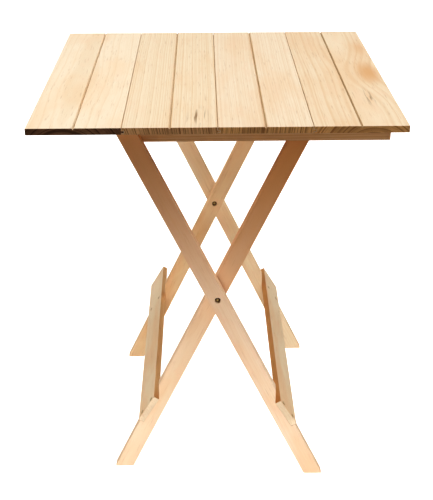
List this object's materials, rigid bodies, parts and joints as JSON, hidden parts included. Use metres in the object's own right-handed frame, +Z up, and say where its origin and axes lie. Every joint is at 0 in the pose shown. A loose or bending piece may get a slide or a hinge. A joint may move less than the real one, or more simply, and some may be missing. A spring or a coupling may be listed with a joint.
{
  "type": "folding picnic table",
  "caption": "Small square slatted pine table on two scissor leg frames; the frames flatten against the underside of the top.",
  "frame": {"origin": "on the floor, under the middle of the table's overall box", "axes": "+Z up, +X to the right of the front view (across the boards), +Y towards the back (along the boards)"},
  "size_m": [0.6, 0.6328, 0.73],
  "materials": {
    "top_pine": "bare planed pine, satin",
    "leg_pine": "bare planed pine, satin",
    "rail_pine": "bare planed pine, matt",
    "stretcher_pine": "bare planed pine, matt",
    "dowel": "turned pine, satin",
    "bolt_steel": "dulled steel",
    "zinc": "zinc plated"
  },
  "bodies": {
    "table_top": {"board_1": "top_pine", "board_2": "top_pine", "board_3": "top_pine", "board_4": "top_pine", "cleat_back": "rail_pine", "cleat_front": "rail_pine", "cleat_screw_back_1": "zinc", "cleat_screw_back_2": "zinc", "cleat_screw_back_3": "zinc", "cleat_screw_back_4": "zinc", "cleat_screw_front_1": "zinc", "cleat_screw_front_2": "zinc", "cleat_screw_front_3": "zinc", "cleat_screw_front_4": "zinc", "hinge_bolt_back": "bolt_steel", "hinge_bolt_front": "bolt_steel", "hinge_nut_back": "zinc", "hinge_nut_front": "zinc", "hinge_washer_back": "zinc", "hinge_washer_front": "zinc", "rail_back": "rail_pine", "rail_front": "rail_pine", "rail_screw_back_1": "zinc", "rail_screw_back_2": "zinc", "rail_screw_back_3": "zinc", "rail_screw_front_1": "zinc", "rail_screw_front_2": "zinc", "rail_screw_front_3": "zinc"},
    "outer_frame": {"crossing_nut_inner_back": "bolt_steel", "crossing_nut_inner_front": "bolt_steel", "crossing_nut_outer_back": "bolt_steel", "crossing_nut_outer_front": "bolt_steel", "crossing_spacer_back": "dowel", "crossing_spacer_front": "dowel", "crossing_stud_back": "zinc", "crossing_stud_front": "zinc", "outer_leg_back": "leg_pine", "outer_leg_front": "leg_pine", "outer_stretcher": "stretcher_pine", "outer_stretcher_screw_back_lower": "zinc", "outer_stretcher_screw_back_upper": "zinc", "outer_stretcher_screw_front_lower": "zinc", "outer_stretcher_screw_front_upper": "zinc"},
    "inner_frame": {"inner_leg_back": "leg_pine", "inner_leg_front": "leg_pine", "inner_stretcher": "stretcher_pine", "inner_stretcher_screw_back_lower": "zinc", "inner_stretcher_screw_back_upper": "zinc", "inner_stretcher_screw_front_lower": "zinc", "inner_stretcher_screw_front_upper": "zinc", "latch_bar": "dowel"}
  },
  "joints": [
    {"name": "frame_hinge", "type": "hinge", "parent": "table_top", "child": "outer_frame", "pos_m": [-0.15, -0.01635, 0.702], "axis": [0, -1, 0], "range_deg": [0, 58.5]},
    {"name": "crossing_hinge", "type": "hinge", "parent": "outer_frame", "child": "inner_frame", "pos_m": [0, -0.01635, 0.386], "axis": [0, 1, 0], "range_deg": [0, 117]}
  ],
  "couplings": [
    {"joint": "crossing_hinge", "follows": "frame_hinge", "ratio": 2}
  ]
}
